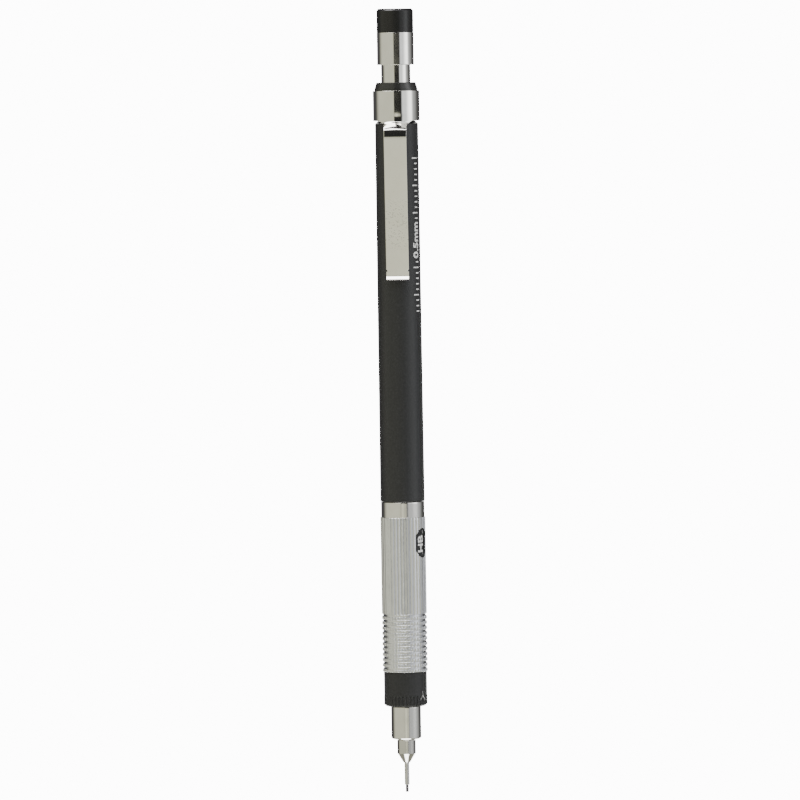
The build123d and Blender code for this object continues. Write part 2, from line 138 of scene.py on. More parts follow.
BUSH_BORE = 2.73
FERRULE_RADIUS = 2.68
FOOT_RADIUS = 1.60  # the ferrule's foot, inside the lead tube
FOOT_BORE = 1.30
ERASER_RADIUS = 2.38
PIN_RADIUS = 0.175  # the wire in the eraser
PIN_HOLE = 3  # and how deep it stands in it
CAP_RADIUS = 3.375
CAP_BORE = 2.71
CAP_END_RADIUS = 3.36
CAP_END_FLAT_RADIUS = 3.04

# ------------------------------------------------------------------------------- details
ROUND = 144  # segments round a plain turned piece
FILLET_STEPS = 5
SUPPORT = 0.12  # rows this near to every rim keep its shading tight
SHARP_DEGREES = 34  # edges that turn by more than this stay sharp
WINDOW_ANGLE = math.radians(63.5)
WINDOW_TALL = 5.45
WINDOW_WIDE = 3.5
WINDOW_STEPS = 24  # round each end of the window
WINDOW_CUT = (1.0, 5.0)  # distances from the axis between which the window is cut
INDEX_ANGLE = math.radians(55)
PRINT_ANGLE = math.radians(56)
FLUTES = 42
FLUTE_DEPTH = 0.16
FLUTE_HALF = 0.24  # half a flute's width, as a share of the pitch
FLUTE_COLUMNS = 10  # mesh columns across one flute
RING_GROOVES = 11
RING_PITCH = 0.968
RING_FIRST = 0.7
RING_DEPTH = 0.20
RING_HALF = 0.25  # half a ring groove's width at its rims, and on its floor
RING_FLOOR_HALF = 0.18
DIAL_RIBS = 36
DIAL_RIB_DEPTH = 0.13
RIB_GROOVE_HALF = 0.26  # half the width between two ribs, as a share of the pitch
RIB_COLUMNS = 10  # mesh columns across one rib
PRINT_THICKNESS = 0.012
PRINT_STRIP = 0.15  # prints are cut into strips this wide, to follow the curve
GRADES = ["HB", "F", "H", "2H", "3H", "3B", "2B", "B"]
GRADE_TALL = 1.75
GRADE_LONG = 1.55  # for each letter
SIZE_TALL = 1.45
SIZE_LONG = 6.6
INDEX_LINE = 0.04  # width of the arrow's lines
TICK_WIDE = 0.24
LONG_TICK = 1.4
SHORT_TICK = 0.8


# ================================================================== meshes, in plain code
def finish_piece(name, mesh, material, body=None, nodes=()):
    """Makes a mesh an object, gives it its material and ties it to the frame."""
    piece = bpy.data.objects.new(name, mesh)
    bpy.context.collection.objects.link(piece)
    mesh.materials.append(material)
    if body:
        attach(piece, body)
    if nodes:
        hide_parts(*nodes)
    return piece


def soften(bm, degrees):
    """Smooth shading, broken at the edges that turn by more than so many degrees."""
    limit = math.radians(degrees)
    for face in bm.faces:
        face.smooth = True
    for edge in bm.edges:
        edge.smooth = len(edge.link_faces) == 2 and edge.calc_face_angle(0) < limit


def mesh_from(bm, name, degrees=SHARP_DEGREES):
    """A Blender mesh in metres from a bmesh drawn in millimetres."""
    bmesh.ops.recalc_face_normals(bm, faces=bm.faces)
    soften(bm, degrees)
    bmesh.ops.scale(bm, vec=(MM, MM, MM), verts=bm.verts)
    mesh = bpy.data.meshes.new(name)
    bm.to_mesh(mesh)
    bm.free()
    return mesh


def on_circle(angle, radius, height):
    """A point at an angle round the pencil, counted from the clip towards +X."""
    return (radius * math.sin(angle), -radius * math.cos(angle), height)


def outline(*corners):
    """A closed outline through (radius, height, fillet) corners, as points."""
    points = []
    count = len(corners)
    for number, corner in enumerate(corners):
        here = Vector(corner[:2])
        fillet = corner[2] if len(corner) > 2 else 0
        if not fillet:
            points.append(here)
            continue
        back = Vector(corners[number - 1][:2]) - here
        ahead = Vector(corners[(number + 1) % count][:2]) - here
        reach = fillet / math.tan(back.angle(ahead) / 2)
        reach = min(reach, 0.49 * back.length, 0.49 * ahead.length)
        start = here + back.normalized() * reach
        end = here + ahead.normalized() * reach
        for step in range(FILLET_STEPS + 1):
            part = step / FILLET_STEPS
            points.append(start.lerp(here, part).lerp(here.lerp(end, part), part))
    return points


def supported(points):
    """The outline with a point near both ends of each long straight run."""
    result = []
    for number, here in enumerate(points):
        ahead = points[(number + 1) % len(points)]
        length = (ahead - here).length
        result.append(here)
        if length > 3 * SUPPORT:
            result.append(here.lerp(ahead, SUPPORT / length))
            result.append(ahead.lerp(here, SUPPORT / length))
    return result


def divided(points, bottom, top, step):
    """The outline with its runs between two heights cut into short ones."""
    result = []
    for number, here in enumerate(points):
        result.append(here)
        ahead = points[(number + 1) % len(points)]
        inside = min(here.y, ahead.y) >= bottom - 0.01 and max(here.y, ahead.y) <= top + 0.01
        pieces = math.ceil(abs(ahead.y - here.y) / step)
        if inside and pieces > 1:
            result += [here.lerp(ahead, part / pieces) for part in range(1, pieces)]
    return result


def turned(name, points, around=ROUND, shape=None):
    """A mesh turned from an outline. shape(angle, radius, height) may cut the radius."""
    bm = bmesh.new()
    columns = []
    for column in range(around):
        angle = 2 * math.pi * column / around
        ring = []
        for point in points:
            radius = shape(angle, point.x, point.y) if shape else point.x
            ring.append(bm.verts.new(on_circle(angle, radius, point.y)))
        columns.append(ring)
    count = len(points)
    for column in range(around):
        here = columns[column]
        ahead = columns[(column + 1) % around]
        for row in range(count):
            below = (row + 1) % count
            bm.faces.new((here[row], ahead[row], ahead[below], here[below]))
    bmesh.ops.remove_doubles(bm, verts=bm.verts, dist=1e-5)
    bmesh.ops.dissolve_degenerate(bm, edges=bm.edges, dist=1e-6)
    return mesh_from(bm, name)


def with_modifiers(piece, degrees):
    """Replaces a piece's mesh with what its modifiers make of it."""
    evaluated = piece.evaluated_get(bpy.context.evaluated_depsgraph_get())
    mesh = bpy.data.meshes.new_from_object(evaluated)
    piece.modifiers.clear()
    piece.data = mesh
    bm = bmesh.new()
    bm.from_mesh(mesh)
    soften(bm, degrees)
    bm.to_mesh(mesh)
    bm.free()


# ============================================================================= materials
# How fine the materials' noise is, in spots to a metre.
CLOUDS = 450
SMUDGES = 1400
SPECKS = 3600
GRAIN = 9000
EVEN = (1, 1, 1)  # noise that is alike along every axis
RELIEF_DEPTH = 0.02  # height of the finest relief at full strength
OUTER_EDGE = (0.52, 0.60)  # how pointed a surface is where rubbing starts and is full
RUBBED = 0.08  # what rubbing adds to a metal's roughness
FADE = 0.2  # how far a darker band fades out on both sides of its edge


def new_material(name):
    """An empty node material: (material, nodes, links, principled shader)."""
    material = bpy.data.materials.new(name)
    material.use_nodes = True
    nodes = material.node_tree.nodes
    return material, nodes, material.node_tree.links, nodes["Principled BSDF"]


def coordinates(nodes, links, scale):
    """Object coordinates in metres, stretched by a scale for each axis."""
    source = nodes.new("ShaderNodeTexCoord")
    stretch = nodes.new("ShaderNodeMapping")
    stretch.inputs["Scale"].default_value = scale
    links.new(source.outputs["Object"], stretch.inputs["Vector"])
    return stretch.outputs["Vector"]


def noise(nodes, links, vector, size, detail=3.0):
    """A noise texture. size is its scale on the stretched coordinates."""
    texture = nodes.new("ShaderNodeTexNoise")
    texture.inputs["Scale"].default_value = size
    texture.inputs["Detail"].default_value = detail
    links.new(vector, texture.inputs["Vector"])
    return texture.outputs["Fac"]


def ranged(nodes, links, value, start, end, to_start, to_end):
    """value from start..end carried over to to_start..to_end."""
    spread = nodes.new("ShaderNodeMapRange")
    spread.inputs["From Min"].default_value = start
    spread.inputs["From Max"].default_value = end
    spread.inputs["To Min"].default_value = to_start
    spread.inputs["To Max"].default_value = to_end
    links.new(value, spread.inputs["Value"])
    return spread.outputs["Result"]


def calculated(nodes, links, operation, *values):
    """A math node fed with sockets or numbers."""
    node = nodes.new("ShaderNodeMath")
    node.operation = operation
    for socket, value in zip(node.inputs, values):
        if isinstance(value, (int, float)):
            socket.default_value = value
        else:
            links.new(value, socket)
    return node.outputs[0]


def between(nodes, links, value, edges):
    """1 between the two middle edges, fading smoothly to 0 at the outer ones."""
    sides = []
    for start, end in (edges[:2], (edges[3], edges[2])):
        side = nodes.new("ShaderNodeMapRange")
        side.interpolation_type = "SMOOTHSTEP"
        side.inputs["From Min"].default_value = start
        side.inputs["From Max"].default_value = end
        links.new(value, side.inputs["Value"])
        sides.append(side.outputs["Result"])
    return calculated(nodes, links, "MULTIPLY", *sides)


def mixed(nodes, links, factor, first, second):
    """A colour between two, each given as three numbers or as a socket."""
    mixer = nodes.new("ShaderNodeMix")
    mixer.data_type = "RGBA"
    for socket, colour in ((mixer.inputs[6], first), (mixer.inputs[7], second)):
        if isinstance(colour, tuple):
            socket.default_value = (*colour, 1)
        else:
            links.new(colour, socket)
    links.new(factor, mixer.inputs["Factor"])
    return mixer.outputs[2]


def bumped(nodes, links, shader, height, strength):
    """Turns a height into a fine relief on the shader."""
    bump = nodes.new("ShaderNodeBump")
    bump.inputs["Strength"].default_value = strength
    bump.inputs["Distance"].default_value = RELIEF_DEPTH * MM
    links.new(height, bump.inputs["Height"])
    links.new(bump.outputs["Normal"], shader.inputs["Normal"])


def edge_wear(nodes, links):
    """1 on outer edges, 0 on flat surfaces, broken up a little."""
    geometry = nodes.new("ShaderNodeNewGeometry")
    patchy = noise(nodes, links, coordinates(nodes, links, EVEN), SMUDGES)
    edges = ranged(nodes, links, geometry.outputs["Pointiness"], *OUTER_EDGE, 0.0, 1.0)
    return calculated(nodes, links, "MULTIPLY", edges, patchy)


def metal(name, bright, dull, worn, roughness, spread, lines, relief):
    """Metal with cloudy tarnish, fine lines and rubbed edges.

    bright, dull and worn are its colours; roughness grows by spread in the dull patches;
    lines stretches the fine lines for each axis and relief is how deep they look.
    """
    material, nodes, links, shader = new_material(name)
    shader.inputs["Metallic"].default_value = 1.0
    clouds = noise(nodes, links, coordinates(nodes, links, EVEN), CLOUDS)
    patches = ranged(nodes, links, clouds, 0.35, 0.7, 0.0, 1.0)
    tarnished = mixed(nodes, links, patches, bright, dull)
    wear = edge_wear(nodes, links)
    links.new(mixed(nodes, links, wear, tarnished, worn), shader.inputs["Base Color"])
    uneven = ranged(nodes, links, patches, 0.0, 1.0, roughness, roughness + spread)
    rubbed = calculated(nodes, links, "MULTIPLY_ADD", wear, RUBBED, uneven)
    links.new(rubbed, shader.inputs["Roughness"])
    scratches = noise(nodes, links, coordinates(nodes, links, lines), 1.0, 2.0)
    bumped(nodes, links, shader, scratches, relief)
    return material


def plastic(name, colour, streak, worn, roughness, spread, streaks, relief, ior=1.45):
    """Moulded plastic or rubber: a fine grain, faint streaks and rubbed edges.

    colour, streak and worn are its colours; roughness grows by spread in the streaks;
    streaks stretches them for each axis and relief is how deep the grain looks.
    """
    material, nodes, links, shader = new_material(name)
    shader.inputs["IOR"].default_value = ior
    drift = noise(nodes, links, coordinates(nodes, links, streaks), 1.0)
    uneven = ranged(nodes, links, drift, 0.3, 0.7, 0.0, 1.0)
    wear = edge_wear(nodes, links)
    body = mixed(nodes, links, uneven, colour, streak)
    links.new(mixed(nodes, links, wear, body, worn), shader.inputs["Base Color"])
    gloss = ranged(nodes, links, uneven, 0.0, 1.0, roughness, roughness + spread)
    links.new(gloss, shader.inputs["Roughness"])
    grain = noise(nodes, links, coordinates(nodes, links, EVEN), GRAIN)
    bumped(nodes, links, shader, grain, relief)
    return material


def darken(material, bottom, top, share, speckled=False):
    """Darkens a colour to a share of itself between two heights, all over or in specks."""
    nodes = material.node_tree.nodes
    links = material.node_tree.links
    shader = nodes["Principled BSDF"]
    colour = shader.inputs["Base Color"].links[0].from_socket
    place = coordinates(nodes, links, EVEN)
    axes = nodes.new("ShaderNodeSeparateXYZ")
    links.new(place, axes.inputs[0])
    fade = FADE * (top - bottom) if speckled else FADE
    edges = [edge * MM for edge in (bottom - fade, bottom + fade, top - fade, top + fade)]
    amount = between(nodes, links, axes.outputs["Z"], edges)
    if speckled:
        spots = noise(nodes, links, place, SPECKS, 0.0)
        spots = ranged(nodes, links, spots, 0.60, 0.70, 0.0, 1.0)
        amount = calculated(nodes, links, "MULTIPLY", amount, spots)
    dark = nodes.new("ShaderNodeVectorMath")
    dark.operation = "SCALE"
    dark.inputs["Scale"].default_value = share
    links.new(colour, dark.inputs[0])
    links.new(mixed(nodes, links, amount, colour, dark.outputs[0]), shader.inputs["Base Color"])


ROUND_LINES = (300, 300, 9000)  # turning marks run round a piece
LONG_LINES = (9000, 9000, 300)  # drawing marks run along a piece

plate = metal(
    "bright_plate",
    bright=(0.78, 0.77, 0.74),
    dull=(0.73, 0.72, 0.68),
    worn=(0.66, 0.64, 0.58),
    roughness=0.09,
    spread=0.04,
    lines=ROUND_LINES,
    relief=0.008,
)
clip_plate = metal(
    "clip_plate",
    bright=(0.79, 0.78, 0.74),
    dull=(0.75, 0.74, 0.69),
    worn=(0.66, 0.64, 0.58),
    roughness=0.05,
    spread=0.04,
    lines=LONG_LINES,
    relief=0.003,
)
nose_plate = metal(
    "nose_plate",
    bright=(0.74, 0.73, 0.69),
    dull=(0.69, 0.68, 0.64),
    worn=(0.60, 0.58, 0.53),
    roughness=0.11,
    spread=0.05,
    lines=ROUND_LINES,
    relief=0.02,
)
grip_metal = metal(
    "grip_metal",
    bright=(0.73, 0.74, 0.76),
    dull=(0.68, 0.69, 0.71),
    worn=(0.79, 0.79, 0.80),
    roughness=0.17,
    spread=0.06,
    lines=LONG_LINES,
    relief=0.04,
)
# Painted shade: the colour of the cone and the tip is darkened, so they look darker than the
# rest of the nose.
darken(nose_plate, CONE - 1, SHOULDER, share=0.80)
# Faint spots lie on the lower half of the clip's arm.
darken(clip_plate, 64.0, 72.0, share=0.78, speckled=True)
steel = metal(
    "plain_steel",
    bright=(0.66, 0.66, 0.64),
    dull=(0.58, 0.58, 0.56),
    worn=(0.74, 0.74, 0.72),
    roughness=0.24,
    spread=0.08,
    lines=ROUND_LINES,
    relief=0.08,
)
brass = metal(
    "brass",
    bright=(0.80, 0.62, 0.30),
    dull=(0.62, 0.43, 0.18),
    worn=(0.86, 0.70, 0.40),
    roughness=0.22,
    spread=0.12,
    lines=ROUND_LINES,
    relief=0.10,
)
barrel_black = plastic(
    "barrel_black",
    colour=(0.0145, 0.0145, 0.0160),
    streak=(0.0180, 0.0180, 0.0190),
    worn=(0.032, 0.032, 0.030),
    roughness=0.42,
    spread=0.08,
    streaks=(900, 900, 12),
    relief=0.10,
)
black = plastic(
    "black_plastic",
    colour=(0.008, 0.008, 0.008),
    streak=(0.011, 0.011, 0.011),
    worn=(0.030, 0.030, 0.028),
    roughness=0.24,
    spread=0.06,
    streaks=(600, 600, 90),
    relief=0.04,
    ior=1.40,
)
bush_black = plastic(
    "bush_black",
    colour=(0.020, 0.020, 0.0195),
    streak=(0.024, 0.024, 0.023),
    worn=(0.040, 0.040, 0.038),
    roughness=0.20,
    spread=0.06,
    streaks=(600, 600, 90),
    relief=0.04,
)
dial_black = plastic(
    "dial_black",
    colour=(0.0155, 0.0155, 0.0165),
    streak=(0.0195, 0.0195, 0.0200),
    worn=(0.045, 0.045, 0.042),
    roughness=0.52,
    spread=0.08,
    streaks=(600, 600, 90),
    relief=0.10,
    ior=1.42,
)
pale_plastic = plastic(
    "pale_plastic",
    colour=(0.70, 0.70, 0.66),
    streak=(0.62, 0.62, 0.57),
    worn=(0.76, 0.76, 0.73),
    roughness=0.30,
    spread=0.10,
    streaks=(300, 300, 60),
    relief=0.06,
)
white_rubber = plastic(
    "white_rubber",
    colour=(0.80, 0.80, 0.78),
    streak=(0.72, 0.72, 0.69),
    worn=(0.62, 0.62, 0.60),
    roughness=0.70,
    spread=0.12,
    streaks=(700, 700, 700),
    relief=0.30,
)
dark_rubber = plastic(
    "dark_rubber",
    colour=(0.030, 0.030, 0.030),
    streak=(0.045, 0.045, 0.043),
    worn=(0.060, 0.060, 0.058),
    roughness=0.70,
    spread=0.10,
    streaks=(500, 500, 500),
    relief=0.20,
)
graphite = plastic(
    "graphite",
    colour=(0.040, 0.040, 0.043),
    streak=(0.075, 0.075, 0.080),
    worn=(0.10, 0.10, 0.10),
    roughness=0.34,
    spread=0.12,
    streaks=(2500, 2500, 700),
    relief=0.25,
)
white_ink = plastic(
    "white_ink",
    colour=(0.88, 0.88, 0.87),
    streak=(0.78, 0.78, 0.77),
    worn=(0.70, 0.70, 0.69),
    roughness=0.45,
    spread=0.10,
    streaks=(1500, 1500, 1500),
    relief=0.10,
)


# ============================================================== writing end, from the tip
def make_lead():
    """The writing lead, a plain rod rounded by writing."""
    bottom = low("lead")
    top = high("lead")
    points = outline(
        (0, bottom),
        (LEAD_RADIUS, bottom, 0.07),
        (LEAD_RADIUS, top, 0.03),
        (0, top),
    )
    mesh = turned("writing_lead", supported(points), 48)
    finish_piece("writing_lead", mesh, graphite, "writing_lead", ["lead"])


def make_guide_pipe():
    """The thin pipe, with a shoulder where it enters the nose."""
    top = high("guide_pipe")
    points = outline(
        (PIPE_BORE, MOUTH, 0.03),
        (PIPE_RADIUS, MOUTH, 0.06),
        (PIPE_RADIUS, CONE),
        (PIPE_ROOT_RADIUS, PIPE_ROOT),
        (PIPE_ROOT_RADIUS, top),
        (PIPE_BORE, top),
    )
    mesh = turned("tip_pipe", supported(points), 64)
    finish_piece("tip_pipe", mesh, steel, "holder", ["guide_pipe"])


def make_nose():
    """The nose's outside from the cone up, then its bores from the top down."""
    top = high("nose")
    points = outline(
        (PIPE_ROOT_RADIUS, PIPE_ROOT),
        (CONE_RADIUS, PIPE_ROOT, 0.01),
        (TIP_RADIUS, TIP, 0.10),
        (TIP_RADIUS, SHOULDER, 0.04),
        (COLLAR_RADIUS - 0.07, COLLAR - 0.02, 0.08),
        (COLLAR_RADIUS, COLLAR + 0.14, 0.08),
        (COLLAR_RADIUS, COLLAR_TOP, 0.06),
        (NECK_RADIUS, COLLAR_TOP),
        (NECK_RADIUS, NECK_TOP),
        (SPIGOT_RADIUS, NECK_TOP),
        (SPIGOT_RADIUS, top),
        (NOSE_BORE, top),
        (NOSE_BORE, RING_STOP),
        (JAW_ROOM_RADIUS, RING_STOP),
        (JAW_ROOM_RADIUS, RETAINER_END),
        (RETAINER_RADIUS, RETAINER_END),
        (RETAINER_RADIUS, PIPE_END),
        (PIPE_ROOT_RADIUS, PIPE_END),
    )
    mesh = turned("nose_cone", supported(points))
    finish_piece("nose_cone", mesh, nose_plate, "holder", ["nose"])


def dial_shape(angle, radius, height):
    """Grooves between the dial's ribs; the smooth part and the sleeve keep their radius."""
    if height > DIAL_SMOOTH + 0.01 or radius < SLEEVE_BORE + 0.01:
        return radius
    phase = (angle * DIAL_RIBS / (2 * math.pi)) % 1 - 0.5
    groove = max(0.0, 1 - abs(phase) / RIB_GROOVE_HALF)
    return min(radius, RIB_RADIUS - DIAL_RIB_DEPTH * groove)


def make_dial():
    """The ribbed dial in one piece with its sleeve, which reaches up inside the grip."""
    sleeve_top = high("grade_dial")
    points = outline(
        (DIAL_BORE, DIAL),
        (RIB_RADIUS - DIAL_BEVEL, DIAL, 0.10),
        (RIB_RADIUS, DIAL + DIAL_BEVEL, 0.12),
        (RIB_RADIUS, DIAL_SMOOTH, 0.05),
        (DIAL_RADIUS, DIAL_SMOOTH + 0.02, 0.02),
        (DIAL_RADIUS, DIAL_TOP, 0.08),
        (SLEEVE_RADIUS, DIAL_TOP),
        (SLEEVE_RADIUS, sleeve_top, 0.05),
        (SLEEVE_BORE, sleeve_top),
        (SLEEVE_BORE, DIAL + DIAL_LIP),
        (DIAL_BORE, DIAL + DIAL_LIP),
    )
    points = divided(supported(points), DIAL, DIAL_SMOOTH, 0.3)
    mesh = turned("grade_dial_body", points, DIAL_RIBS * RIB_COLUMNS, dial_shape)
    finish_piece("grade_dial_body", mesh, dial_black, "dial", ["grade_dial"])


# ================================================================================= grip
def flute_cut(angle):
    """Depth of the lengthwise flutes at an angle: narrow hollows between broad crests."""
    phase = (angle * FLUTES / (2 * math.pi)) % 1 - 0.5
    return FLUTE_DEPTH * max(0.0, 1 - (phase / FLUTE_HALF) ** 2)


def grip_shape(angle, radius, height):
    """The grip's outer wall, cut by its flutes."""
    return min(radius, GRIP_RADIUS - flute_cut(angle)) if radius > GRIP_BORE else radius


def ring_grooves():
    """Outline corners of the square-cut grooves round the lower part of the grip."""
    corners = []
    for number in range(RING_GROOVES):
        middle = GRIP + RING_FIRST + RING_PITCH * number
        corners += [
            (GROOVED_RADIUS, middle - RING_HALF, 0.06),
            (GROOVED_RADIUS - RING_DEPTH, middle - RING_FLOOR_HALF),
            (GROOVED_RADIUS - RING_DEPTH, middle + RING_FLOOR_HALF),
            (GROOVED_RADIUS, middle + RING_HALF, 0.06),
        ]
    return corners


def window_cutter():
    """A round-ended bar that stands through the grip's wall where its window is."""
    bm = bmesh.new()
    rims = []
    outward = Vector(on_circle(WINDOW_ANGLE, 1, 0))
    sideways = Vector((math.cos(WINDOW_ANGLE), math.sin(WINDOW_ANGLE), 0))
    for distance in WINDOW_CUT:
        rim = []
        for end in (1, -1):
            for step in range(WINDOW_STEPS + 1):
                turn = math.pi * step / WINDOW_STEPS + (0 if end == 1 else math.pi)
                across = WINDOW_WIDE / 2 * math.cos(turn)
                along = WINDOW_WIDE / 2 * math.sin(turn) + end * (WINDOW_TALL - WINDOW_WIDE) / 2
                place = outward * distance + sideways * across
                rim.append(bm.verts.new((place.x, place.y, WINDOW + along)))
        rims.append(rim)
    inner, outer = rims
    for number in range(len(inner)):
        ahead = (number + 1) % len(inner)
        bm.faces.new((inner[number], inner[ahead], outer[ahead], outer[number]))
    bm.faces.new(inner)
    bm.faces.new(outer)
    cutter = bpy.data.objects.new("window_cutter", mesh_from(bm, "window_cutter"))
    bpy.context.collection.objects.link(cutter)
    return cutter


def make_grip():
    """The metal grip: ring grooves below, flutes above and a window in its side."""
    points = outline(
        (GRIP_BORE, GRIP),
        (GROOVED_RADIUS - 0.04, GRIP, 0.02),
        (GROOVED_RADIUS, GRIP + 0.04, 0.02),
        *ring_grooves(),
        (GROOVED_RADIUS, FLUTES_START),
        (GRIP_RADIUS, FLUTES_START),
        (GRIP_RADIUS, GRIP_TOP - 0.04, 0.02),
        (GRIP_RADIUS - 0.04, GRIP_TOP, 0.02),
        (GRIP_TOP_BORE, GRIP_TOP),
        (GRIP_TOP_BORE, GRIP_TOP - GRIP_WEB),
        (GRIP_BORE, GRIP_TOP - GRIP_WEB),
    )
    points = divided(points, FLUTES_START, GRIP_TOP, 0.5)
    mesh = turned("fluted_grip", points, FLUTES * FLUTE_COLUMNS, grip_shape)
    grip = finish_piece("fluted_grip", mesh, grip_metal, nodes=["grip"])
    cutter = window_cutter()
    window = grip.modifiers.new("window", "BOOLEAN")
    window.operation = "DIFFERENCE"
    window.solver = "EXACT"
    window.object = cutter
    with_modifiers(grip, SHARP_DEGREES)
    bpy.data.objects.remove(cutter)
    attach(grip, "holder")


# =============================================================================== barrel
def make_joint_ring():
    """The smooth ring between grip and barrel."""
    points = outline(
        (JOINT_BORE, GRIP_TOP),
        (JOINT_RADIUS, GRIP_TOP, 0.06),
        (JOINT_RADIUS, BARREL, 0.10),
        (JOINT_BORE, BARREL),
    )
    mesh = turned("smooth_ring", supported(points))
    finish_piece("smooth_ring", mesh, plate, "holder", ["joint_ring"])


def make_barrel():
    """The long barrel, a little narrower towards the clip."""
    points = outline(
        (BARREL_BORE, BARREL),
        (BARREL_RADIUS, BARREL, 0.30),
        (BARREL_TOP_RADIUS, CLIP - BARREL_BEVEL, 0.10),
        (BARREL_TOP_RADIUS - BARREL_BEVEL, CLIP, 0.05),
        (BARREL_BORE, CLIP),
    )
    mesh = turned("long_barrel", supported(points))
    finish_piece("long_barrel", mesh, barrel_black, "holder", ["barrel"])


def barrel_radius(height):
    """Outer radius of the barrel at a height."""
    part = (height - BARREL) / (CLIP - BARREL)
    return BARREL_RADIUS + (BARREL_TOP_RADIUS - BARREL_RADIUS) * part


def make_top_bush():
    """The tapered head, with the seat for the clip's ring and its shank in the barrel."""
    bottom = low("top_bush")
    points = outline(
        (BUSH_BORE, bottom),
        (BARREL_BORE, bottom),
        (BARREL_BORE, CLIP),
        (CLIP_SEAT_RADIUS, CLIP),
        (CLIP_SEAT_RADIUS, BUSH_SEAT),
        (BUSH_RADIUS, BUSH_SEAT, 0.04),
        (BUSH_RADIUS - 0.04, BUSH_SEAT + 0.45, 0.30),
        (BUSH_END_RADIUS, BUSH_END, 0.12),
        (BUSH_BORE, BUSH_END, 0.10),
    )
    mesh = turned("tapered_head", supported(points))
    finish_piece("tapered_head", mesh, bush_black, "holder", ["top_bush"])


# ================================================================================= clip
CLIP_SHEET = 0.39
CLIP_RIM = 0.05  # rounding of the sheet's edges
CLIP_HALF_WIDTH = 2.075
CLIP_FILLET = 0.8  # where the arm leaves the ring
CLIP_FLAT = 1.6  # the ring's roundness has gone from the arm this far down
BOW_FADE = 1.2  # how fast it goes
NICK_DROP = 27.3  # small nicks in the arm's edges, above the lip
NICK_HALF = 0.2
NICK_DEPTH = 0.3
WAIST_DEPTH = 0.019  # the ring is pinched in a little above the arm's root
WAIST_RISE = 0.7
WAIST_TALL = 0.55
WAIST_TURN = 0.35  # how far round the ring it reaches, in radians
SHEET_DEGREES = 60  # the bare sheet is smooth over bends up to this
RIM_DEGREES = 50  # its edges sharper than this are rounded
CLIP_DEGREES = 40  # the finished clip is smooth over bends up to this
CLIP_COLUMNS = 120
COLUMN_TURN = 2 * math.pi / CLIP_COLUMNS
ROOT_COLUMNS = 15  # columns of the ring on each side of the arm's middle
ROOT_TURN = ROOT_COLUMNS * COLUMN_TURN
CLIP_STEPS = 8  # mesh rows along each of the arm's curves
# Mesh rows of the ring, closest where it is pinched.
CLIP_RING_RISES = [0.15 * row for row in range(9)] + [1.4, 1.7, 2.2, 3.2, 4.2, 5.0, 5.4]
# Each curve through four (distance from the axis, drop below the ring) control points:
# two bends out of the ring, the turn down, the straight arm, the lip and its flare.
CLIP_CURVES = [
    ((4.07, 0.0), (4.07, 0.18), (4.20, 0.30), (4.42, 0.50)),
    ((4.42, 0.50), (4.72, 0.72), (5.24, 1.08), (5.45, 1.30)),
    ((5.45, 1.30), (5.72, 1.58), (6.03, 2.10), (6.02, 2.85)),
    ((6.02, 2.85), (5.44, 10.90), (4.87, 18.95), (4.29, 27.00)),
    ((4.29, 27.00), (4.276, 27.20), (4.261, 27.40), (4.247, 27.60)),
    ((4.247, 27.60), (4.234, 27.83), (4.222, 28.06), (4.21, 28.29)),
    ((4.21, 28.29), (4.207, 28.34), (4.222, 28.40), (4.252, 28.45)),
    ((4.252, 28.45), (4.37, 28.63), (4.49, 28.81), (4.605, 28.99)),
]


def clip_path():
    """Points (distance, drop) down the middle of the arm."""
    path = [(CLIP_RADIUS, 0.0)]
    for curve in CLIP_CURVES:
        knots = [Vector((*point, 0)) for point in curve]
        for point in interpolate_bezier(*knots, CLIP_STEPS + 1)[1:]:
            path.append((point.x, point.y))
    return path


def half_width(drop):
    """Half the arm's width: filleted into the ring, then straight but for two nicks."""
    reach = max(CLIP_FILLET - drop, 0.0)
    nick = NICK_DEPTH * max(0.0, 1 - abs(drop - NICK_DROP) / NICK_HALF)
    return CLIP_HALF_WIDTH - nick + CLIP_FILLET - math.sqrt(CLIP_FILLET**2 - reach**2)


def ring_waist(angle, rise):
    """How far the ring is pinched in just above the root of the arm."""
    up = (rise - WAIST_RISE) / WAIST_TALL
    around = angle / WAIST_TURN
    return WAIST_DEPTH * math.exp(-(up**2) - around**2)


def add_clip_ring(bm):
    """Adds the ring to the clip's sheet and gives back its lowest row of points."""
    rows = []
    for rise in [*CLIP_RING_RISES, BUSH_SEAT - CLIP]:
        row = []
        for column in range(CLIP_COLUMNS):
            angle = COLUMN_TURN * column
            waist = ring_waist(min(angle, 2 * math.pi - angle), rise)
            row.append(bm.verts.new(on_circle(angle, CLIP_RADIUS - waist, CLIP + rise)))
        rows.append(row)
    for below, above in zip(rows, rows[1:]):
        for column in range(CLIP_COLUMNS):
            ahead = (column + 1) % CLIP_COLUMNS
            bm.faces.new((below[column], below[ahead], above[ahead], above[column]))
    return rows[0]


def add_clip_arm(bm, ring_foot):
    """Hangs the arm on the ring's lowest row; its roundness fades out on the way down."""
    across = range(-ROOT_COLUMNS, ROOT_COLUMNS + 1)
    last = [ring_foot[column % CLIP_COLUMNS] for column in across]
    path = clip_path()
    for number in range(1, len(path)):
        distance, drop = path[number]
        before = path[number - 1]
        after = path[min(number + 1, len(path) - 1)]
        lean = math.atan2(after[0] - before[0], after[1] - before[1])
        half = half_width(drop)
        bow = CLIP_RADIUS - math.sqrt(CLIP_RADIUS**2 - half**2)
        bow *= max(0.0, 1 - drop / CLIP_FLAT) ** BOW_FADE
        row = []
        for column in across:
            angle = column * COLUMN_TURN
            side = half * math.sin(angle) / math.sin(ROOT_TURN)
            back = bow * (1 - math.cos(angle)) / (1 - math.cos(ROOT_TURN))
            place = (side, back * math.cos(lean) - distance, CLIP - drop - back * math.sin(lean))
            row.append(bm.verts.new(place))
        for left in range(len(row) - 1):
            bm.faces.new((last[left], last[left + 1], row[left + 1], row[left]))
        last = row


